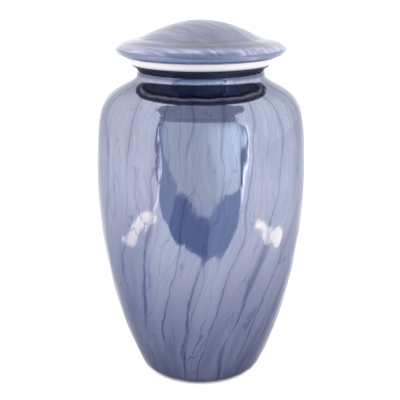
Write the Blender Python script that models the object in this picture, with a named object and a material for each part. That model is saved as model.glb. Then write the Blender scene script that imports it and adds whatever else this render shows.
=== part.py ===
"""Adult funeral urn: a hollow turned vessel, the bare metal ring round its mouth, and its lift-off lid.

Metres, +Z up. The origin is the centre of the flat base. Every piece is turned about Z, so each one is
an outline of (radius, height) points. Outlines run up the outside; a heading is degrees from straight up,
with plus leaning outwards.
"""

import math

import bmesh
import bpy
import numpy as np
from mathutils import Vector
from mathutils.geometry import interpolate_bezier

# The vessel's outside, each height measured from the one before it
foot_radius = 0.0383
foot_corner_radius = 0.0117
foot_lean = 25.1
foot_pull = 0.053
belly_radius = 0.07805
belly_height = 0.1491
belly_pull_below = 0.0346
belly_pull_above = 0.0514
shoulder_inset = 0.0067
shoulder_rise = 0.0587
shoulder_lean = -25.7
shoulder_pull_below = 0.0011
shoulder_pull_above = 0.0142
neck_radius = 0.0468
neck_rise = 0.0204
neck_pull_below = 0.0059
neck_straight = 0.0013
mouth_flare = 0.0032
mouth_flare_rise = 0.0052
mouth_flare_heading = 48
mouth_flare_pull = 0.0022
vessel_wall = 0.0025

# The ring on the mouth, with a collar that goes down into the neck
ring_overhang = 0.0037
ring_flare_rise = 0.0028
ring_flare_pull = 0.0028
ring_height = 0.0062
ring_edge = 0.0005
collar_depth = 0.008
collar_wall = 0.003

# The lid: a rounded rim, a shallow step above it and a low dome
lid_overhang = 0.0079
lid_rim_round = 0.0071
lid_rim_half_height = 0.0046
lid_rim_pull_under = 0.0041
lid_rim_pull_below = 0.0025
lid_rim_pull_above = 0.0018
lid_step_inset = 0.0144
lid_step_height = 0.012
lid_step_heading = -81
lid_step_pull_below = 0.0108
lid_step_pull_above = 0.0008
lid_crown_inset = 0.0231
lid_crown_height = 0.015
lid_crown_heading = -64
lid_crown_pull_below = 0.0061
lid_crown_pull_above = 0.0077
lid_height = 0.0248
lid_top_pull = 0.0164
lid_wall = 0.0025
plug_depth = 0.0085
plug_wall = 0.0025

# Fits, and how finely the pieces are turned
seat_gap = 0.0003
collar_clearance = 0.0003
plug_clearance = 0.0005
turn_steps = 48
sharp_angle = 35

# Radii and heights that follow from the sizes above
shoulder_radius = belly_radius - shoulder_inset
shoulder_height = belly_height + shoulder_rise
neck_height = shoulder_height + neck_rise
mouth_radius = neck_radius + mouth_flare
mouth_height = neck_height + neck_straight + mouth_flare_rise
neck_bore = neck_radius - vessel_wall
collar_radius = neck_bore - collar_clearance
ring_bore = collar_radius - collar_wall
ring_radius = mouth_radius + ring_overhang
ring_foot = mouth_height + seat_gap
ring_top = ring_foot + ring_height
lid_foot = ring_top + seat_gap
lid_radius = ring_radius + lid_overhang
plug_radius = ring_bore - plug_clearance


def heading(degrees):
    return np.array([math.sin(math.radians(degrees)), math.cos(math.radians(degrees))])


def curve(start, start_heading, start_pull, end, end_heading, end_pull, steps):
    """Bezier points from start to end, leaving and arriving at these headings; a pull is a handle's length."""
    start, end = np.array(start), np.array(end)
    handles = start + start_pull * heading(start_heading), end - end_pull * heading(end_heading)
    knots = [Vector((*point, 0)) for point in (start, *handles, end)]
    return np.array([point.xy for point in interpolate_bezier(*knots, steps + 1)])


def arc(centre, radius, start_heading, end_heading, steps):
    """Points round an outer corner, from one heading to the other."""
    turn = np.radians(np.linspace(start_heading, end_heading, steps + 1))
    return np.array(centre) + radius * np.stack([np.cos(turn), -np.sin(turn)], axis=1)


def join(*runs):
    """One outline out of runs of points that start where the last one ended."""
    points = np.concatenate([np.atleast_2d(run) for run in runs])
    apart = np.linalg.norm(np.diff(points, axis=0), axis=1) > 1e-6
    return points[np.append(True, apart)]


def inset(outline, wall):
    """The inside of a wall: each outside point moved in by the wall, less those that end up too near another."""
    run = np.gradient(outline, axis=0)
    outward = np.stack([run[:, 1], -run[:, 0]], axis=1)
    inside = outline - wall * outward / np.linalg.norm(outward, axis=1, keepdims=True)
    start, side = outline[:-1], np.diff(outline, axis=0)
    along = ((inside[:, None] - start) * side).sum(axis=2) / (side**2).sum(axis=1)
    nearest = start + np.clip(along, 0, 1)[:, :, None] * side
    reach = np.linalg.norm(inside[:, None] - nearest, axis=2).min(axis=1)
    return inside[(reach > 0.97 * wall) & (inside[:, 0] > 0)]


def turned(name, outline, closed, colour, metallic, roughness):
    """A solid turned from an outline that runs up its outside. An open outline ends on the axis."""
    bm = bmesh.new()
    corners = [bm.verts.new((radius, 0, height)) for radius, height in outline]
    pairs = list(zip(corners, corners[1:])) + ([(corners[-1], corners[0])] if closed else [])
    edges = [bm.edges.new(pair) for pair in pairs]
    bmesh.ops.spin(
        bm, geom=corners + edges, axis=(0, 0, 1), cent=(0, 0, 0), steps=turn_steps, angle=2 * math.pi
    )
    bmesh.ops.remove_doubles(bm, verts=bm.verts, dist=1e-6)
    bmesh.ops.recalc_face_normals(bm, faces=bm.faces)
    mesh = bpy.data.meshes.new(name)
    bm.to_mesh(mesh)
    bm.free()
    mesh.shade_smooth()
    mesh.set_sharp_from_angle(angle=math.radians(sharp_angle))
    material = bpy.data.materials.new(name)
    material.use_nodes = True
    shader = material.node_tree.nodes["Principled BSDF"]
    shader.inputs["Base Color"].default_value = (*colour, 1)
    shader.inputs["Metallic"].default_value = metallic
    shader.inputs["Roughness"].default_value = roughness
    mesh.materials.append(material)
    piece = bpy.data.objects.new(name, mesh)
    bpy.context.scene.collection.objects.link(piece)
    return piece


def vessel_outline():
    foot = arc((foot_radius, foot_corner_radius), foot_corner_radius, 90, foot_lean, 3)
    belly = (belly_radius, belly_height)
    shoulder = (shoulder_radius, shoulder_height)
    neck = (neck_radius, neck_height)
    side = join(
        (0, 0),
        foot,
        curve(foot[-1], foot_lean, foot_pull, belly, 0, belly_pull_below, 6),
        curve(belly, 0, belly_pull_above, shoulder, shoulder_lean, shoulder_pull_below, 6),
        curve(shoulder, shoulder_lean, shoulder_pull_above, neck, 0, neck_pull_below, 8),
    )
    flare_foot = (neck_radius, neck_height + neck_straight)
    mouth = (mouth_radius, mouth_height)
    flare = curve(flare_foot, 0, mouth_flare_pull, mouth, mouth_flare_heading, mouth_flare_pull, 3)
    # The inside follows the outside up to the neck, and the bore runs straight from there to the mouth
    inside = inset(side, vessel_wall)
    inside = inside[inside[:, 1] < neck_height - 1e-4]
    bore = [(neck_bore, mouth_height), (neck_bore, neck_height)]
    return join(side, flare, bore, inside[::-1], (0, vessel_wall))


def ring_outline():
    flare_top = (ring_radius - ring_edge, ring_foot + ring_flare_rise)
    rim = arc((ring_radius - ring_edge, ring_top - ring_edge), ring_edge, 0, -90, 3)
    return join(
        (collar_radius, ring_foot - collar_depth),
        (collar_radius, ring_foot),
        curve((mouth_radius, ring_foot), mouth_flare_heading, ring_flare_pull, flare_top, 8, ring_edge, 4),
        rim,
        (ring_bore, ring_top),
        (ring_bore, ring_foot - collar_depth),
    )


def lid_outline():
    rim_foot = (lid_radius - lid_rim_round, lid_foot)
    rim = (lid_radius, lid_foot + lid_rim_half_height)
    step = (lid_radius - lid_step_inset, lid_foot + lid_step_height)
    crown = (lid_radius - lid_crown_inset, lid_foot + lid_crown_height)
    top = (0, lid_foot + lid_height)
    outside = join(
        curve(rim_foot, 90, lid_rim_pull_under, rim, 0, lid_rim_pull_below, 4),
        curve(rim, 0, lid_rim_pull_above, step, lid_step_heading, lid_step_pull_below, 6),
        curve(step, lid_step_heading, lid_step_pull_above, crown, lid_crown_heading, lid_crown_pull_below, 2),
        curve(crown, lid_crown_heading, lid_crown_pull_above, top, -90, lid_top_pull, 5),
    )
    inside = inset(outside, lid_wall)
    plug_foot = lid_foot - plug_depth
    plug_bore = plug_radius - plug_wall
    return join(
        (0, lid_foot + lid_height - lid_wall),
        inside[::-1],
        (plug_bore, lid_foot + lid_wall),
        (plug_bore, plug_foot),
        (plug_radius, plug_foot),
        (plug_radius, lid_foot),
        outside,
    )


for old in list(bpy.data.objects):
    bpy.data.objects.remove(old, do_unlink=True)

turned("urn_body", vessel_outline(), False, (0.26, 0.28, 0.46), 0.7, 0.12)
turned("mouth_ring", ring_outline(), True, (0.87, 0.87, 0.89), 1.0, 0.3)
turned("lid", lid_outline(), False, (0.37, 0.38, 0.53), 0.7, 0.12)
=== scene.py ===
import math

import bpy
import numpy as np
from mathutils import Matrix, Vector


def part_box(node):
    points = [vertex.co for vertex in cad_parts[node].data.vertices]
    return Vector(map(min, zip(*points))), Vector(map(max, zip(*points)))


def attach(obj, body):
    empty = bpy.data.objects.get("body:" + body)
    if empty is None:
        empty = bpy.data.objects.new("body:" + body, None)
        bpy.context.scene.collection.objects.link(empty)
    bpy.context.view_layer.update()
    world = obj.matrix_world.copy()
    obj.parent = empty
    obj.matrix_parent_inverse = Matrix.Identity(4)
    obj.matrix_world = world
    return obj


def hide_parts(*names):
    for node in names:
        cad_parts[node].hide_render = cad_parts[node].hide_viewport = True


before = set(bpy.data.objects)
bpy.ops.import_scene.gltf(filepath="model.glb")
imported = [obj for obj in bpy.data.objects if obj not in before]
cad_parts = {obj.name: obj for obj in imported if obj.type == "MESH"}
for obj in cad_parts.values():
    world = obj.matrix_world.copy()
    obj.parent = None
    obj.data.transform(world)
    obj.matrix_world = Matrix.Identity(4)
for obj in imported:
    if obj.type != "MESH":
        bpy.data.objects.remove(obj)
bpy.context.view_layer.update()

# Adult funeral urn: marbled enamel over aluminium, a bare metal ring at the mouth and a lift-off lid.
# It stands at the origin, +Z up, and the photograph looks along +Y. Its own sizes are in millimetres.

mm = 0.001
slack = 0.1  # Two places nearer than this, in millimetres, count as one
nothing = 0.001  # A length in millimetres that is too short to count
studioLevel = 3.2  # How many times as bright as white paper the tent round the urn is


# An sRGB colour such as #a0b0c0 as linear red, green, blue and alpha
def linear(hexColour):
    parts = np.array([int(hexColour[i:i + 2], 16) for i in (1, 3, 5)]) / 255
    lit = np.where(parts <= 0.04045, parts / 12.92, ((parts + 0.055) / 1.055) ** 2.4)
    return (*lit.tolist(), 1.0)


# Adds a node: settings are its own properties, and an input is a value or another node's socket
def addNode(tree, kind, inputs, **settings):
    made = tree.nodes.new(kind)
    for name, value in settings.items():
        setattr(made, name, value)
    for name, value in inputs.items():
        if isinstance(value, bpy.types.NodeSocket):
            tree.links.new(value, made.inputs[name])
        else:
            made.inputs[name].default_value = value
    return made


def newMaterial(name):
    material = bpy.data.materials.new(name)
    material.use_nodes = True
    return material, material.node_tree, material.node_tree.nodes["Principled BSDF"]


# Outlines are (radius, height) points in millimetres that run up the outside.
# A heading is degrees from straight up, with plus leaning outwards.
def headingOf(degrees):
    return np.array([math.sin(math.radians(degrees)), math.cos(math.radians(degrees))])


# Cubic Bezier: the start, a handle along its heading, a handle back along the end's heading, the end
def curve(start, startHeading, startPull, end, endHeading, endPull, steps):
    start, end = np.array(start, float), np.array(end, float)
    t = np.linspace(0, 1, steps + 1)[:, None]
    out = start + startPull * headingOf(startHeading)
    back = end - endPull * headingOf(endHeading)
    return (1 - t) ** 3 * start + 3 * t * (1 - t) ** 2 * out + 3 * t**2 * (1 - t) * back + t**3 * end


# Circular corner: the centre plus the radius at a right angle to each heading in turn
def arc(centre, radius, startHeading, endHeading, steps):
    turn = np.radians(np.linspace(startHeading, endHeading, steps + 1))
    return np.array(centre) + radius * np.stack([np.cos(turn), -np.sin(turn)], axis=1)


# Straight run: points spread evenly from start to end
def straight(start, end, steps):
    t = np.linspace(0, 1, steps + 1)[:, None]
    return (1 - t) * np.array(start, float) + t * np.array(end, float)


# One outline out of runs of points, less each point that repeats the one before it
def join(*runs):
    points = np.concatenate([np.atleast_2d(run) for run in runs])
    apart = np.linalg.norm(np.diff(points, axis=0), axis=1) > nothing
    return points[np.append(True, apart)]


# Inside of a wall: each point moved in by the wall at a right angle, less those nearer than that to
# another. Points stand a little apart, so a little less than the wall still counts as clear.
def inset(outline, wall):
    clear = 0.985 * wall
    run = np.gradient(outline, axis=0)
    outward = np.stack([run[:, 1], -run[:, 0]], axis=1)
    inside = outline - wall * outward / np.linalg.norm(outward, axis=1, keepdims=True)
    reach = np.linalg.norm(inside[:, None] - outline[None], axis=2).min(axis=1)
    return inside[(reach > clear) & (inside[:, 0] > 0)]


# Length of the outline from its start to each of its points
def lengthAlong(outline):
    return np.append(0, np.cumsum(np.linalg.norm(np.diff(outline, axis=0), axis=1)))


# Degrees between each column of a turned piece and one direction, whichever way round is shorter
def degreesAside(around, direction):
    angle = np.arange(around) * 360 / around
    return np.abs((angle - direction + 180) % 360 - 180)


# One smooth step from 0 at the low value to 1 at the high one: 3 t^2 - 2 t^3
def eased(value, low, high):
    t = np.clip((value - low) / (high - low), 0, 1)
    return t * t * (3 - 2 * t)


# Turned surface: the outline at every angle round +Z, with one point where it meets the axis. The pattern's
# own place, in millimetres, goes to the attribute marbleAt. A second attribute holds how far the lacquer has
# pooled, partly painted shade, and where painted shade lies. slotOf gives each row of faces its material,
# and an edge sharper than so many degrees stays crisp.
def turnedPiece(name, outline, around, closed, patternAt, lacquerAndShade, materials, slotOf, sharp=35):
    rows = len(outline)
    angle = np.arange(around) * 2 * math.pi / around
    radius, height = outline.T
    onAxis = radius < nothing
    places = np.stack([
        np.outer(radius, np.cos(angle)),
        np.outer(radius, np.sin(angle)),
        np.repeat(height[:, None], around, axis=1),
    ], axis=2)
    pattern = patternAt(places, np.broadcast_to(angle, (rows, around)), lengthAlong(outline)[:, None])
    counts = np.where(onAxis, 1, around)
    first = np.append(0, np.cumsum(counts)[:-1])
    index = first[:, None] + np.where(onAxis[:, None], 0, np.arange(around))
    kept = np.ones((rows, around), bool)
    kept[onAxis, 1:] = False

    # A face that meets the axis at one end is a triangle, and one that lies on the axis is left out
    low, high = index, np.roll(index, -1, axis=0)
    if not closed:
        low, high = index[:-1], index[1:]
    nextLow, nextHigh = np.roll(low, -1, axis=1), np.roll(high, -1, axis=1)
    slot = np.repeat(slotOf(outline, np.arange(len(low))), around)
    quads = np.stack([low, nextLow, nextHigh, high], axis=2).reshape(-1, 4)
    startsOnAxis, endsOnAxis = quads[:, 0] == quads[:, 1], quads[:, 2] == quads[:, 3]
    plain = ~(startsOnAxis | endsOnAxis)
    startsOnAxis, endsOnAxis = startsOnAxis & ~endsOnAxis, endsOnAxis & ~startsOnAxis
    starts, ends = quads[startsOnAxis][:, 1:], quads[endsOnAxis][:, :3]
    faces = quads[plain].tolist() + starts.tolist() + ends.tolist()
    slots = np.concatenate([slot[plain], slot[startsOnAxis], slot[endsOnAxis]]).astype(np.int32)

    mesh = bpy.data.meshes.new(name)
    mesh.from_pydata((places[kept] * mm).tolist(), [], faces)
    at = mesh.attributes.new("marbleAt", "FLOAT_VECTOR", "POINT")
    at.data.foreach_set("vector", pattern[kept].astype(np.float32).ravel())
    depth = np.stack([np.broadcast_to(part, (rows, around)) for part in (*lacquerAndShade, 0)], axis=2)
    held = mesh.attributes.new("lacquerAndShade", "FLOAT_VECTOR", "POINT")
    held.data.foreach_set("vector", depth[kept].astype(np.float32).ravel())
    for material in materials:
        mesh.materials.append(material)
    mesh.polygons.foreach_set("material_index", slots)
    mesh.shade_smooth()
    mesh.set_sharp_from_angle(angle=math.radians(sharp))
    mesh.update()
    piece = bpy.data.objects.new(name, mesh)
    bpy.context.scene.collection.objects.link(piece)
    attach(piece, "root")
    print(name, "triangles:", sum(len(face) - 2 for face in faces))
    return piece


# What both enamels share. Clouds and streaks show where their noise lies between two values. A vein comes
# in over a short range of its noise. Its shadow and its line are so many widths wide, plain and pooled.
enamelWays = {
    "cloudBetween": (0.36, 0.64), "streakBetween": (0.3, 0.7), "rareBelow": 0.14, "rareAbove": 0.08,
    "shadowWidths": (3, 7), "lineWidths": (1, 1.7), "wanderDetail": 2.5, "noiseRoughness": 0.6,
    "coat": 0.3, "coatRoughness": 0.02,
}


# Marbled enamel: dark tinted lacquer poured over bright aluminium and left to run, then glazed. The metal
# under it makes the lacquer a coloured mirror, the runs leave thin dark veins, and the glaze adds a clear
# gloss. Sizes are across and along the run, in millimetres.
def marbledEnamel(name, look):
    ways = enamelWays
    material, tree, shader = newMaterial(name)
    at = addNode(tree, "ShaderNodeAttribute", {}, attribute_name="marbleAt").outputs["Vector"]

    # The runs wander: the pattern's place is pushed sideways by slow and by quick noises
    place = at
    for push, across, along in look["wander"]:
        scaled = addNode(tree, "ShaderNodeVectorMath", {
            0: at, 1: (1 / across, 1 / across, 1 / along),
        }, operation="MULTIPLY")
        noise = addNode(tree, "ShaderNodeTexNoise", {
            "Vector": scaled.outputs[0], "Scale": 1, "Detail": ways["wanderDetail"],
        })
        centred = addNode(tree, "ShaderNodeVectorMath", {
            0: noise.outputs["Color"], 1: (0.5, 0.5, 0.5),
        }, operation="SUBTRACT")
        place = addNode(tree, "ShaderNodeVectorMath", {
            0: centred.outputs[0], 1: (push, push, 0), 2: place,
        }, operation="MULTIPLY_ADD").outputs[0]

    # Noise stretched along the run. The offset keeps one noise from repeating another.
    def runNoise(size, detail, offset, start=place):
        scaled = addNode(tree, "ShaderNodeVectorMath", {
            0: start, 1: (1 / size[0], 1 / size[0], 1 / size[1]), 2: (offset, offset, offset),
        }, operation="MULTIPLY_ADD")
        return addNode(tree, "ShaderNodeTexNoise", {
            "Vector": scaled.outputs[0], "Scale": 1, "Detail": detail, "Roughness": ways["noiseRoughness"],
        }).outputs["Fac"]

    # A value taken smoothly from one range to another
    def ramp(value, fromLow, fromHigh, toLow, toHigh):
        return addNode(tree, "ShaderNodeMapRange", {
            "Value": value, "From Min": fromLow, "From Max": fromHigh, "To Min": toLow, "To Max": toHigh,
        }, interpolation_type="SMOOTHSTEP").outputs[0]

    def worked(operation, *values):
        return addNode(tree, "ShaderNodeMath", dict(enumerate(values)), operation=operation).outputs[0]

    def tinted(tint, share, colour):
        return addNode(tree, "ShaderNodeMix", {
            0: share, 6: tint, 7: linear(look[colour]),
        }, data_type="RGBA").outputs[2]

    # The colour deepens where the lacquer pooled, which is partly painted shade, and the veins widen there
    lacquerAndShade = addNode(tree, "ShaderNodeAttribute", {}, attribute_name="lacquerAndShade").outputs["Vector"]
    pooledAndShaded, paintedShade = addNode(tree, "ShaderNodeSeparateXYZ", {0: lacquerAndShade}).outputs[:2]
    cloud = ramp(runNoise(look["cloud"], detail=2, offset=11.3), *ways["cloudBetween"], 0, 1)
    streak = ramp(runNoise(look["streak"], detail=3, offset=7.7), *ways["streakBetween"], 0, 1)
    poolAndShade = worked("MULTIPLY", pooledAndShaded, ramp(cloud, 0, 1, *look["poolAndShadeDepth"]))
    tint = tinted(linear(look["blue"]), cloud, "lilac")
    tint = tinted(tint, poolAndShade, "poolAndShade")
    tint = tinted(tint, worked("MULTIPLY", streak, look["streakDepth"]), "deep")

    # A vein lies at each whole multiple of a spacing across the runs, so it keeps on for its full length.
    # A noise pushes it sideways, and away is the distance to the nearest one, in millimetres. Each kind of
    # vein comes and goes, widens towards the foot, and has a wide soft shadow round it.
    parts = addNode(tree, "ShaderNodeSeparateXYZ", {0: place}).outputs
    across = parts["X"]
    if look["wrapped"]:
        across = worked("MULTIPLY", worked("ARCTAN2", parts["Y"], parts["X"]), look["girth"] / (2 * math.pi))
    relief = 0.0
    for vein in look["veins"]:
        width, rare = vein["width"], vein["rare"]
        bend = runNoise(vein["bend"], detail=1, offset=vein["offset"])
        pushed = worked("MULTIPLY_ADD", bend, vein["push"], across)
        away = worked("PINGPONG", pushed, look["girth"] / vein["count"] / 2)
        comes = runNoise(look["fade"], detail=1, offset=vein["offset"] + 3)
        fade = ramp(comes, rare - ways["rareBelow"], rare + ways["rareAbove"], look["faintest"], 1)
        strength = worked("MULTIPLY", fade, ramp(pooledAndShaded, 0, 1, look["highVeins"], 1))
        shadowWidth = ramp(pooledAndShaded, 0, 1, *(width * share for share in ways["shadowWidths"]))
        lineWidth = ramp(pooledAndShaded, 0, 1, *(width * share for share in ways["lineWidths"]))
        shadow = worked("MULTIPLY", ramp(away, 0, shadowWidth, 1, 0), strength)
        line = worked("MULTIPLY", ramp(away, 0, worked("MULTIPLY", fade, lineWidth), 1, 0), strength)
        shade = ramp(pooledAndShaded, 0, 1, look["highShade"] * vein["shadow"], vein["shadow"])
        tint = tinted(tint, worked("MULTIPLY", shadow, shade), "deep")
        tint = tinted(tint, worked("MULTIPLY", line, vein["depth"]), "veinColour")
        relief = worked("MAXIMUM", line, relief)
    # Painted shade: a dark tint where shade falls, in the hollow under the vessel's mouth and low on the
    # lid's rim
    tint = tinted(tint, paintedShade, "paintedShade")
    tree.links.new(tint, shader.inputs["Base Color"])

    # Relief: the enamel's slow unevenness bends the reflections, and each vein stands a little proud
    wave = runNoise(look["wave"], detail=0, offset=17.9, start=at)
    ripple = runNoise(look["ripple"], detail=0, offset=23.3, start=at)
    normal = None
    for high, deep in ((wave, "waveHeight"), (ripple, "rippleHeight"), (relief, "veinHeight")):
        bump = {"Height": high, "Strength": 1, "Distance": look[deep] * mm}
        if normal:
            bump["Normal"] = normal
        normal = addNode(tree, "ShaderNodeBump", bump).outputs[0]
    tree.links.new(normal, shader.inputs["Normal"])
    tree.links.new(ramp(streak, 0, 1, *look["roughness"]), shader.inputs["Roughness"])
    shader.inputs["Metallic"].default_value = 1
    shader.inputs["Specular Tint"].default_value = look["edgeTint"]
    shader.inputs["Coat Weight"].default_value = ways["coat"]
    shader.inputs["Coat Roughness"].default_value = ways["coatRoughness"]
    return material


# Dark lacquer: plain dark satin lacquer without the metal in it, so little light comes back from it.
# Under the lid's rim it is painted shade, and it also covers the vessel's flat underside.
def darkLacquerAndShade(name, look):
    material, tree, shader = newMaterial(name)
    at = addNode(tree, "ShaderNodeAttribute", {}, attribute_name="marbleAt").outputs["Vector"]
    grain = addNode(tree, "ShaderNodeTexNoise", {"Vector": at, "Scale": 1 / look["grain"], "Detail": 3})
    tint = addNode(tree, "ShaderNodeMix", {
        0: grain.outputs["Fac"], 6: linear(look["dark"]), 7: linear(look["light"]),
    }, data_type="RGBA")
    tree.links.new(tint.outputs[2], shader.inputs["Base Color"])
    shader.inputs["Roughness"].default_value = look["roughness"]
    return material


# Turned aluminium: light metal with fine tool marks round it, which spread its shine. Where painted
# shade lies on it, it is dark.
def turnedAluminium(name, look):
    material, tree, shader = newMaterial(name)
    at = addNode(tree, "ShaderNodeAttribute", {}, attribute_name="marbleAt").outputs["Vector"]
    marks = addNode(tree, "ShaderNodeVectorMath", {
        0: at, 1: (1 / look["markLength"], 1 / look["markLength"], 1 / look["markPitch"]),
    }, operation="MULTIPLY")
    turned = addNode(tree, "ShaderNodeTexNoise", {
        "Vector": marks.outputs[0], "Scale": 1, "Detail": 3,
    }).outputs["Fac"]
    tint = addNode(tree, "ShaderNodeMix", {
        0: turned, 6: linear(look["dark"]), 7: linear(look["light"]),
    }, data_type="RGBA")
    lacquerAndShade = addNode(tree, "ShaderNodeAttribute", {}, attribute_name="lacquerAndShade").outputs["Vector"]
    paintedShadeOnMetal = addNode(tree, "ShaderNodeSeparateXYZ", {0: lacquerAndShade}).outputs["Y"]
    tint = addNode(tree, "ShaderNodeMix", {
        0: paintedShadeOnMetal, 6: tint.outputs[2], 7: linear(look["paintedShadeOnMetal"]),
    }, data_type="RGBA")
    rough = addNode(tree, "ShaderNodeMapRange", {
        "Value": turned, "From Min": 0.3, "From Max": 0.7,
        "To Min": look["roughness"][0], "To Max": look["roughness"][1],
    })
    grooves = addNode(tree, "ShaderNodeBump", {
        "Height": turned, "Strength": 1, "Distance": look["markDepth"] * mm,
    })
    tree.links.new(tint.outputs[2], shader.inputs["Base Color"])
    tree.links.new(rough.outputs[0], shader.inputs["Roughness"])
    tree.links.new(grooves.outputs[0], shader.inputs["Normal"])
    shader.inputs["Metallic"].default_value = look["metallic"]
    return material


# The ring's bare metal looks nearly white in the tent, so its values, metallic too, were matched
ringLook = {
    "dark": "#919194", "light": "#9e9d9f", "paintedShadeOnMetal": "#141829", "roughness": (0.5, 0.65), "metallic": 0.4,
    "markPitch": 0.45, "markLength": 60, "markDepth": 0.004,
}
insideLook = {
    "dark": "#b5b6ba", "light": "#d3d4d8", "paintedShadeOnMetal": "#b5b6ba", "roughness": (0.42, 0.546), "metallic": 1,
    "markPitch": 1.6, "markLength": 90, "markDepth": 0.02,
}
darkUndersideAndShadeLook = {"dark": "#2a3050", "light": "#383f66", "grain": 1.5, "roughness": 0.4}
ringMetal = turnedAluminium("turnedAluminium", ringLook)
insideMetal = turnedAluminium("spunAluminiumInside", insideLook)
darkUndersideAndShade = darkLacquerAndShade("darkLacquerAndPaintedShade", darkUndersideAndShadeLook)

# Vessel: each height is measured from the one before it, and the belly's size is the frame's own
bodyLow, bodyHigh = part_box("urn_body")
vesselSizes = {
    "foot": bodyLow.z / mm, "footRadius": 38.3, "footCorner": 11.7, "footLean": 25.1, "footPull": 53.0,
    "bellyRadius": bodyHigh.x / mm, "bellyHeight": 149.1, "bellyPullBelow": 34.6, "bellyPullAbove": 51.4,
    "shoulderInset": 6.7, "shoulderRise": 58.7, "shoulderLean": -25.7,
    "shoulderPullBelow": 1.1, "shoulderPullAbove": 14.2,
    "neckRadius": 46.8, "neckRise": 20.4, "neckPullBelow": 5.9, "neckStraight": 1.3,
    "mouthFlare": 3.2, "mouthHeight": bodyHigh.z / mm, "mouthHeading": 48, "mouthPull": 2.2,
    "wall": 2.5, "insideEvery": 3, "around": 288,
}
# The tent is far brighter than paper, so the enamel's own colours are that much darker than they look.
# Lengths, such as those of the pooling and the painted shade, run up the outline from the middle of the
# underside.
vesselLook = {
    "blue": "#656a78", "lilac": "#676876", "deep": "#414863", "veinColour": "#1b1e37",
    "poolAndShade": "#2e344f", "paintedShade": "#2e3249", "edgeTint": (0.38, 0.385, 0.4, 1), "roughness": (0.06, 0.09),
    "wrapped": True, "girth": 2 * math.pi * vesselSizes["bellyRadius"],
    "veins": (
        {"count": 21, "push": 30, "bend": (34, 75), "width": 1.3,
         "depth": 0.9, "shadow": 0.9, "rare": 0.42, "offset": 31},
        {"count": 37, "push": 34, "bend": (22, 60), "width": 0.45,
         "depth": 0.6, "shadow": 0.4, "rare": 0.53, "offset": 57},
        {"count": 27, "push": 70, "bend": (26, 60), "width": 0.6,
         "depth": 0.75, "shadow": 0.5, "rare": 0.55, "offset": 83},
    ),
    "fade": (18, 55), "faintest": 0.12, "highVeins": 0.38, "highShade": 0.45,
    "wander": ((14, 34, 80), (5.5, 9, 22), (2.4, 4, 7)),
    "streak": (2.4, 60), "streakDepth": 0.3, "cloud": (30, 90), "poolAndShadeDepth": (0.75, 1.0),
    "poolAndShadeFull": 58, "poolAndShadeEnds": 215, "paintedShadeFrom": 289.0, "paintedShadeFull": 292.0, "paintedShadeShare": 0.92,
    "darkAt": -131, "darkAside": 27.2, "darkDepth": 0.32, "darkLengths": (60, 160, 240),
    "wave": (11, 26), "waveHeight": 0.42, "ripple": (6, 11), "rippleHeight": 0.12, "veinHeight": 0.03,
    "slantMiddle": 0.345, "slantSides": 0.184, "slantBelow": 160, "slantEase": 30,
}


# Side as in the frame: foot corner, lower side, upper side, shoulder to neck, and the flare up to the mouth.
# The inside is that side moved in by the wall, and its bore runs straight from the neck to the mouth.
def vesselOutline(s):
    middle = (0, s["foot"])
    foot = arc((s["footRadius"], s["footCorner"]), s["footCorner"], 90, s["footLean"], steps=16)
    belly = (s["bellyRadius"], s["bellyHeight"])
    shoulder = (s["bellyRadius"] - s["shoulderInset"], s["bellyHeight"] + s["shoulderRise"])
    neck = (s["neckRadius"], shoulder[1] + s["neckRise"])
    flareFoot = (neck[0], neck[1] + s["neckStraight"])
    mouth = (s["neckRadius"] + s["mouthFlare"], s["mouthHeight"])
    side = join(
        straight(middle, foot[0], steps=10),
        foot,
        curve(foot[-1], s["footLean"], s["footPull"], belly, 0, s["bellyPullBelow"], steps=44),
        curve(belly, 0, s["bellyPullAbove"],
              shoulder, s["shoulderLean"], s["shoulderPullBelow"], steps=30),
        curve(shoulder, s["shoulderLean"], s["shoulderPullAbove"],
              neck, 0, s["neckPullBelow"], steps=40),
    )
    flare = curve(flareFoot, 0, s["mouthPull"], mouth, s["mouthHeading"], s["mouthPull"], steps=10)
    outside = join(side, flare)
    bore = neck[0] - s["wall"]
    inside = inset(side, s["wall"])
    inside = inside[inside[:, 1] < neck[1] - slack][::-s["insideEvery"]]
    whole = join(outside, straight((bore, mouth[1]), (bore, neck[1]), steps=2), inside, (0, s["wall"]))
    return whole, len(outside) - 1


# Where the marbling lies: unrolled at the belly's radius, so the veins draw together towards the foot, and
# slanted to one side, most at the right and least at the left: the shift is slant times d^2 / (d + ease)
# at the depth d below where the slant starts. On the underside the pattern lies flat.
def vesselPattern(places, angle, length):
    slant = vesselLook["slantMiddle"] + vesselLook["slantSides"] * np.cos(angle)
    depth = np.maximum(vesselLook["slantBelow"] - places[:, :, 2], 0)
    radius = vesselSizes["bellyRadius"]
    turn = angle + slant * depth**2 / (depth + vesselLook["slantEase"]) / radius
    along = np.broadcast_to(length, turn.shape)
    wrapped = np.stack([radius * np.cos(turn), radius * np.sin(turn), along], axis=2)
    underneath = (length < vesselSizes["footRadius"] - slack)[:, :, None]
    return np.where(underneath, places, wrapped)


# Darker towards the foot, partly pooled lacquer and partly painted shade, and along one run down the side,
# which fades with the angle and at both ends. Painted shade lies dark in the hollow under the mouth.
def vesselPoolAndShade(outline, look):
    length = lengthAlong(outline)[:, None]
    aside = degreesAside(vesselSizes["around"], look["darkAt"])
    darkFull, darkFades, darkEnds = look["darkLengths"]
    darkRun = eased(-aside, -look["darkAside"], 0) * eased(length, 0, darkFull)
    darkRun = darkRun * eased(-length, -darkEnds, -darkFades)
    pooledAndShaded = eased(-length, -look["poolAndShadeEnds"], -look["poolAndShadeFull"]) + look["darkDepth"] * darkRun
    paintedShade = look["paintedShadeShare"] * eased(length, look["paintedShadeFrom"], look["paintedShadeFull"])
    outside = np.arange(len(outline))[:, None] <= outsideRows
    return np.minimum(pooledAndShaded, 1), paintedShade * outside


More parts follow.
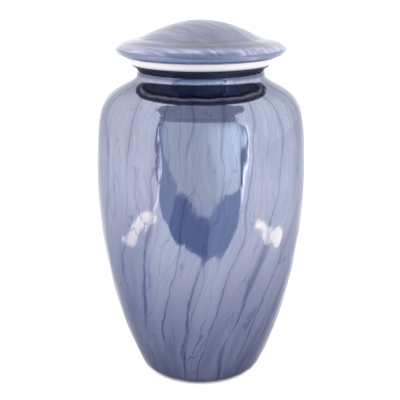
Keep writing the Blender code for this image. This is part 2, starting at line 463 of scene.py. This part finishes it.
# Enamel outside, bare metal inside and plain dark lacquer on the flat underside
def vesselSlots(points, row):
    flat = points[row, 1] < vesselSizes["foot"] + slack
    underneath = flat & (points[row, 0] < vesselSizes["footRadius"] - slack)
    return np.where(underneath, 2, row >= outsideRows)


vesselEnamel = marbledEnamel("marbledEnamel", vesselLook)
outline, outsideRows = vesselOutline(vesselSizes)
vessel = turnedPiece("vessel", outline, vesselSizes["around"], False, vesselPattern,
                     vesselPoolAndShade(outline, vesselLook), [vesselEnamel, insideMetal, darkUndersideAndShade], vesselSlots)
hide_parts("urn_body")

# Ring on the mouth: it starts a gap above the vessel, and its collar stands clear of the neck's bore.
# Painted shade lies dark at the foot of its flare, full up to the first of its two heights and gone by the
# second.
ringLow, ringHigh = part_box("mouth_ring")
fits = {"seatGap": 0.3, "collarClearance": 0.3, "collarWall": 3.0, "plugClearance": 0.5}
collarRadius = vesselSizes["neckRadius"] - vesselSizes["wall"] - fits["collarClearance"]
ringSizes = {
    "mouthRadius": vesselSizes["neckRadius"] + vesselSizes["mouthFlare"], "mouthHeading": 60,
    "flareRise": 3.2, "flarePull": 2.9, "flareHeading": 8, "edge": 0.5,
    "radius": ringHigh.x / mm, "foot": vesselSizes["mouthHeight"] + fits["seatGap"], "top": ringHigh.z / mm,
    "collarRadius": collarRadius, "collarFoot": ringLow.z / mm, "bore": collarRadius - fits["collarWall"],
    "flareShadeFull": 1.0, "flareShadeEnds": 1.7, "around": 288,
}


# From the collar's foot: up the collar, out and up the flare, a narrow upright edge with a round corner, the
# flat top, and down the bore, with its corners taken off
def ringOutline(s):
    flareTop = (s["radius"] - s["edge"], s["foot"] + s["flareRise"])
    collar, low, bore, edge = s["collarRadius"], s["collarFoot"], s["bore"], s["edge"]
    return join(
        straight((collar, low), (collar, s["foot"]), steps=6),
        curve((s["mouthRadius"], s["foot"]), s["mouthHeading"], s["flarePull"],
              flareTop, s["flareHeading"], edge, steps=14),
        arc((s["radius"] - edge, s["top"] - edge), edge, 0, -90, steps=8),
        straight((bore + edge, s["top"]), (bore, s["top"] - edge), steps=2),
        straight((bore, low + edge), (bore + edge, low), steps=2),
    )


# Tool marks run round the ring, so the pattern follows its radius and its length of outline
def ringPattern(places, angle, length):
    along = np.broadcast_to(length, angle.shape)
    radius = ringSizes["radius"]
    return np.stack([radius * np.cos(angle), radius * np.sin(angle), along], axis=2)


# Painted shade: dark at the foot of the ring's flare, outside the collar
def ringPaintedShade(outline, s):
    above = outline[:, 1:] - s["foot"]
    paintedShadeOnMetal = eased(-above, -s["flareShadeEnds"], -s["flareShadeFull"])
    return 0, paintedShadeOnMetal * (outline[:, :1] > s["collarRadius"] + slack)


# The ring is one metal all over
def ringSlots(points, row):
    return np.zeros_like(row)


outline = ringOutline(ringSizes)
ring = turnedPiece("mouthRing", outline, ringSizes["around"], True, ringPattern,
                   ringPaintedShade(outline, ringSizes), [ringMetal], ringSlots)
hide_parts("mouth_ring")

# Lid: a rounded rim, a shallow step above it, a low dome, and a short plug inside the ring
lidLow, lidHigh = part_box("lid")
lidSizes = {
    "radius": lidHigh.x / mm, "foot": ringSizes["top"] + fits["seatGap"],
    "rimRound": 6.6, "rimHalfHeight": 5.1,
    "edgeInset": 1.3, "edgeHeight": 1.9, "edgePullUnder": 0.6, "edgePullAbove": 0.5,
    "rimPullUnder": 2.0, "rimPullBelow": 1.0, "rimPullAbove": 1.1,
    "stepInset": 14.4, "stepHeight": 12.0, "stepHeading": -81, "stepPullBelow": 11.4, "stepPullAbove": 0.8,
    "crownInset": 23.1, "crownHeight": 15.0, "crownHeading": -64,
    "crownPullBelow": 6.1, "crownPullAbove": 7.7,
    "top": lidHigh.z / mm, "topPull": 16.4, "wall": 2.5, "insideEvery": 2,
    "plugRadius": ringSizes["bore"] - fits["plugClearance"], "plugWall": 2.5, "plugFoot": lidLow.z / mm,
    "shadeUnderRimRadius": 60.0, "around": 256,
}
# The lid's enamel is paler and less glossy. Its runs all have one heading, seen from above, so the girth
# here is the width that they cross.
lidLook = {
    "blue": "#7c7f8d", "lilac": "#807f8c", "deep": "#54576a", "veinColour": "#30334b",
    "poolAndShade": "#36384c", "paintedShade": "#494f64", "edgeTint": (0.62, 0.62, 0.63, 1), "roughness": (0.27, 0.405),
    "wrapped": False, "girth": 123,
    "veins": (
        {"count": 8, "push": 18, "bend": (22, 60), "width": 0.45,
         "depth": 0.5, "shadow": 0.5, "rare": 0.5, "offset": 31},
        {"count": 13, "push": 18, "bend": (14, 40), "width": 0.3,
         "depth": 0.45, "shadow": 0.35, "rare": 0.54, "offset": 57},
    ),
    "fade": (14, 40), "faintest": 0.1, "highVeins": 1, "highShade": 1,
    "wander": ((8, 25, 60), (2.4, 9, 16)),
    "streak": (4.5, 55), "streakDepth": 0.9, "cloud": (16, 50), "poolAndShadeDepth": (0.95, 1.0),
    "darkAt": -84, "darkAside": 67.2, "darkRadius": (14, 38, 53, 60),
    "paintedShadeFull": 1.0, "paintedShadeEnds": 1.25,
    "wave": (9, 11), "waveHeight": 0.1, "ripple": (4, 7), "rippleHeight": 0.02, "veinHeight": 0.01,
    "runHeading": -38, "heightShare": 0.6,
}


# Outside: under the rim, round its side, up to the step, up to the crown and over the dome. Then, from the
# hollow's middle, the inside of that wall and the plug.
def lidOutline(s):
    rimFoot = (s["radius"] - s["rimRound"], s["foot"])
    edge = (s["radius"] - s["edgeInset"], s["foot"] + s["edgeHeight"])
    rim = (s["radius"], s["foot"] + s["rimHalfHeight"])
    lean = math.degrees(math.atan2(rim[0] - edge[0], rim[1] - edge[1]))
    step = (s["radius"] - s["stepInset"], s["foot"] + s["stepHeight"])
    crown = (s["radius"] - s["crownInset"], s["foot"] + s["crownHeight"])
    top = (0, s["top"])
    outside = join(
        curve(rimFoot, 90, s["rimPullUnder"], edge, lean, s["edgePullUnder"], steps=12),
        curve(edge, lean, s["edgePullAbove"], rim, 0, s["rimPullBelow"], steps=8),
        curve(rim, 0, s["rimPullAbove"], step, s["stepHeading"], s["stepPullBelow"], steps=24),
        curve(step, s["stepHeading"], s["stepPullAbove"],
              crown, s["crownHeading"], s["crownPullBelow"], steps=12),
        curve(crown, s["crownHeading"], s["crownPullAbove"], top, -90, s["topPull"], steps=36),
    )
    inside = inset(outside, s["wall"])[::-s["insideEvery"]]
    plugBore = s["plugRadius"] - s["plugWall"]
    under = join(
        (0, s["top"] - s["wall"]),
        inside,
        (plugBore, s["foot"] + s["wall"]),
        (plugBore, s["plugFoot"]),
        (s["plugRadius"], s["plugFoot"]),
        (s["plugRadius"], s["foot"]),
    )
    return join(outside, under), len(outside) - 1


# Where the lid's marbling lies: flat from above, with the run's own direction as the long one, and a share
# of the height, so that it doesn't stretch down the rim
def lidPattern(places, angle, length):
    heading = math.radians(lidLook["runHeading"])
    x, y, z = places[:, :, 0], places[:, :, 1], places[:, :, 2]
    along = x * math.cos(heading) + y * math.sin(heading)
    across = y * math.cos(heading) - x * math.sin(heading)
    return np.stack([across, lidLook["heightShare"] * z, along], axis=2)


# Painted shade darkens the lower side of the rim, up to where it is widest, and one darker cloud, painted
# shade, lies on the lid's front, round the dome's foot, and fades before the rim
def lidPaintedShade(outline, look):
    aside = degreesAside(lidSizes["around"], look["darkAt"])
    darkFrom, darkFull, darkFades, darkEnds = look["darkRadius"]
    radius, above = outline[:, :1], outline[:, 1:] - lidSizes["foot"]
    half = lidSizes["rimHalfHeight"]
    pooledAndShaded = eased(-aside, -look["darkAside"], 0) * eased(radius, darkFrom, darkFull)
    pooledAndShaded = pooledAndShaded * eased(-radius, -darkEnds, -darkFades)
    paintedShade = eased(above, 0, look["paintedShadeFull"]) * eased(-above, -look["paintedShadeEnds"] * half, -half)
    return pooledAndShaded, paintedShade


# Enamel outside, bare metal in the hollow, and dark lacquer, painted shade, under the rim out to where it
# turns up
def lidSlots(points, row):
    low = points[row, 1] < lidSizes["foot"] + lidSizes["edgeHeight"]
    under = (row < outsideRows) & low & (points[row, 0] < lidSizes["shadeUnderRimRadius"])
    return np.where(under, 2, row >= outsideRows)


lidEnamel = marbledEnamel("marbledEnamelPale", lidLook)
outline, outsideRows = lidOutline(lidSizes)
lid = turnedPiece("domedLid", outline, lidSizes["around"], True, lidPattern,
                  lidPaintedShade(outline, lidLook), [lidEnamel, insideMetal, darkUndersideAndShade], lidSlots)
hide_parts("lid")

# Studio, in metres: a pale floor, bright white all round, and what stands in front of the urn and shows
# only in its gloss: the open front of the light tent, with the room beyond it. One card stands a layer
# before the next, and one lies a sheet above the next.
front, ceiling, layer, sheet = -0.60, 1.25, 0.01, 0.001
studio = {
    "tentLeft": 1.01, "tentRight": 1.09, "floorColour": "#f9f9fa", "floorHalf": 8.0,
    "lampSize": 1.6, "lampEnergy": 12, "lampAt": (0, -0.1, 1.6),
}


# Corners given as (x, z) on an upright plane, and as (x, y) on a level one
def standing(y, *corners):
    return [(x, y, z) for x, z in corners]


def lying(z, *corners):
    return [(x, y, z) for x, y in corners]


# A card glows with one strength near its centre and with endStrength past the span round it, both as shares
# of the tent's level
def card(name, corners, colour, strength, centre=(0, 0, 0), span=(0, 1), endStrength=None):
    material = bpy.data.materials.new(name)
    material.use_nodes = True
    tree = material.node_tree
    tree.nodes.clear()
    place = addNode(tree, "ShaderNodeTexCoord", {}).outputs["Object"]
    away = addNode(tree, "ShaderNodeVectorMath", {0: place, 1: centre}, operation="DISTANCE")
    fall = addNode(tree, "ShaderNodeMapRange", {
        "Value": away.outputs["Value"], "From Min": span[0], "From Max": span[1],
        "To Min": studioLevel * strength,
        "To Max": studioLevel * (strength if endStrength is None else endStrength),
    }, interpolation_type="SMOOTHSTEP")
    glow = addNode(tree, "ShaderNodeEmission", {"Color": linear(colour), "Strength": fall.outputs[0]})
    addNode(tree, "ShaderNodeOutputMaterial", {"Surface": glow.outputs[0]})
    mesh = bpy.data.meshes.new(name)
    mesh.from_pydata(corners, [], [list(range(len(corners)))])
    mesh.materials.append(material)
    made = bpy.data.objects.new(name, mesh)
    bpy.context.scene.collection.objects.link(made)
    made.visible_camera = False
    made.visible_diffuse = False
    made.visible_shadow = False
    made.visible_transmission = False


# The tent's open front: the dim room round it, and the bright room that shows through it
card("openFront", standing(front - 2 * layer, (-0.62, 0), (0.62, 0), (0.66, 0.83), (-0.70, 0.83)),
     "#8791ad", 1.0)
card("openTop", standing(
    front - layer, (-0.76, 0.86), (-0.3, 0.80), (0, 0.79), (0.3, 0.80), (0.66, 0.86),
    (0.72, ceiling), (-0.80, ceiling),
), "#a0a5b6", 0.95)
card("openCeiling", lying(
    ceiling, (-0.80, front - layer), (0.72, front - layer), (0.66, -0.10), (0.5, 0.12), (-0.5, 0.12),
    (-0.70, -0.10),
), "#a0a4b4", 0.95)
card("roomLight", standing(
    front, (-0.25, 0), (0.33, 0), (0.45, 0.01), (0.51, 0.03), (0.51, 0.11), (0.55, 0.25), (0.59, 0.53),
    (0.61, 0.80), (0.42, 0.75), (0.22, 0.71), (0.01, 0.69), (-0.22, 0.71), (-0.42, 0.75), (-0.60, 0.80),
    (-0.53, 0.62), (-0.46, 0.25), (-0.45, 0.17), (-0.33, 0.07), (-0.26, 0.03),
), "#e2ebf1", 1.5, (0.40, front, 0.25), (0.05, 0.46), 0.88)
card("rightGlow", standing(front - layer, (0.60, 0), (1.3, 0), (1.3, 1.1), (0.64, 1.1)),
     "#ffffff", 1.35, (0.64, front - layer, 0.3), (0.02, 0.6), 1.08)
card("roomSide", standing(
    front - layer, (-0.52, 0), (-0.22, 0), (-0.22, 0.1), (-0.44, 0.3), (-0.52, 0.5),
), "#aab5d0", 1.0)
card("rightEdge", standing(front + layer, (0.595, 0), (0.62, 0), (0.645, 0.55), (0.62, 0.55)),
     "#ffffff", 3.0)
card("leftEdge", standing(front + layer, (-0.535, 0.02), (-0.515, 0.02), (-0.535, 0.5), (-0.55, 0.5)),
     "#ffffff", 2.2)

# The table before the opening, its darker part, and the room's floor beyond it
card("tableFront", lying(
    sheet, (-0.51, -0.62), (-0.51, -0.58), (-0.35, -0.42), (-0.25, -0.34), (-0.18, -0.31), (-0.14, -0.28),
    (-0.08, -0.29), (-0.01, -0.26), (0.01, -0.24), (0.05, -0.25), (0.12, -0.25), (0.18, -0.28),
    (0.23, -0.30), (0.31, -0.38), (0.42, -0.49), (0.51, -0.62),
), "#a6b4d1", 1.0)
card("tableDark", lying(
    2 * sheet, (-0.26, -0.62), (-0.24, -0.52), (-0.22, -0.41), (-0.19, -0.32), (-0.14, -0.28),
    (-0.08, -0.29), (-0.07, -0.27), (-0.01, -0.26), (0.03, -0.26), (0.06, -0.36), (0.05, -0.46),
    (0.05, -0.62),
), "#8391b8", 1.0)
card("roomFloor", lying(
    3 * sheet, (-0.12, -0.62), (-0.12, -0.56), (-0.08, -0.57), (-0.05, -0.49), (0.06, -0.47),
    (0.14, -0.56), (0.23, -0.54), (0.30, -0.62),
), "#d4dcea", 1.0)

# Bright lines along the opening's foot, and the two gaps low at the sides that show as white patches
card("leftFloorLine", lying(
    2 * sheet, (-0.535, -0.60), (-0.395, -0.40), (-0.345, -0.31), (-0.33, -0.31), (-0.375, -0.40),
    (-0.515, -0.60),
), "#ffffff", 2.0)
card("rightFloorLine", lying(
    2 * sheet, (0.60, -0.60), (0.625, -0.60), (0.50, -0.50), (0.375, -0.42), (0.365, -0.43), (0.48, -0.52),
), "#ffffff", 2.0)
card("leftGap", lying(
    sheet, (-0.40, -0.20), (-0.39, -0.27), (-0.33, -0.31), (-0.30, -0.28), (-0.29, -0.20), (-0.30, -0.14),
    (-0.27, -0.08), (-0.28, -0.05), (-0.30, 0.0), (-0.32, -0.06), (-0.35, -0.12),
), "#fff5dd", 2.3)
card("rightGap", lying(
    sheet, (0.33, -0.24), (0.34, -0.20), (0.34, -0.14), (0.35, 0.0), (0.31, 0.01), (0.27, -0.01),
    (0.26, -0.11), (0.27, -0.13), (0.30, -0.15), (0.29, -0.21),
), "#fff5dd", 2.3)

# Behind the urn, a panel with a darker middle
card("backPanel", standing(1.0, (-1.0, 0.25), (1.0, 0.25), (1.0, 1.6), (-1.0, 1.6)),
     "#ffffff", 0.6, (0, 1.0, 0.85), (0.2, 0.75), 1.0)

floorMaterial, floorTree, floorShader = newMaterial("palePaper")
floorShader.inputs["Base Color"].default_value = linear(studio["floorColour"])
floorShader.inputs["Roughness"].default_value = 0.9
floorShader.inputs["Specular IOR Level"].default_value = 0
half = studio["floorHalf"]
floorMesh = bpy.data.meshes.new("paperFloor")
floorCorners = lying(0, (-half, -half), (half, -half), (half, half), (-half, half))
floorMesh.from_pydata(floorCorners, [], [[0, 1, 2, 3]])
floorMesh.materials.append(floorMaterial)
floor = bpy.data.objects.new("paperFloor", floorMesh)
bpy.context.scene.collection.objects.link(floor)

# The tent is white, and a little brighter on the right
world = bpy.data.worlds.new("whiteTent")
world.use_nodes = True
tent = world.node_tree
tentPlace = addNode(tent, "ShaderNodeTexCoord", {})
tentSide = addNode(tent, "ShaderNodeSeparateXYZ", {0: tentPlace.outputs["Generated"]})
tentLevel = addNode(tent, "ShaderNodeMapRange", {
    "Value": tentSide.outputs["X"], "From Min": -1, "From Max": 1,
    "To Min": studio["tentLeft"] * studioLevel, "To Max": studio["tentRight"] * studioLevel,
})
tent.nodes["Background"].inputs["Color"].default_value = (1, 1, 1, 1)
tent.links.new(tentLevel.outputs[0], tent.nodes["Background"].inputs["Strength"])
bpy.context.scene.world = world

lamp = bpy.data.lights.new("overheadSoftbox", "AREA")
lamp.shape = "SQUARE"
lamp.size = studio["lampSize"]
lamp.energy = studio["lampEnergy"]
softbox = bpy.data.objects.new("overheadSoftbox", lamp)
softbox.location = studio["lampAt"]
softbox.visible_glossy = False
softbox.visible_camera = False
bpy.context.scene.collection.objects.link(softbox)

# Camera: its height, distance and lens were found from the ellipses at the base, the mouth and the rim
cameraView = {
    "distance": 0.5631, "height": 0.3085, "pitch": 17.41, "lens": 69.93, "sensor": 36, "shift": -0.00225,
    "nearest": 0.01,
}
camera = bpy.data.objects.new("camera", bpy.data.cameras.new("camera"))
camera.location = (0, -cameraView["distance"], cameraView["height"])
camera.rotation_euler = (math.radians(90 - cameraView["pitch"]), 0, 0)
camera.data.lens = cameraView["lens"]
camera.data.sensor_width = cameraView["sensor"]
camera.data.shift_x = cameraView["shift"]
camera.data.clip_start = cameraView["nearest"]
bpy.context.scene.collection.objects.link(camera)
bpy.context.scene.camera = camera
bpy.context.scene.view_settings.view_transform = "Standard"
print("studio and camera are set")
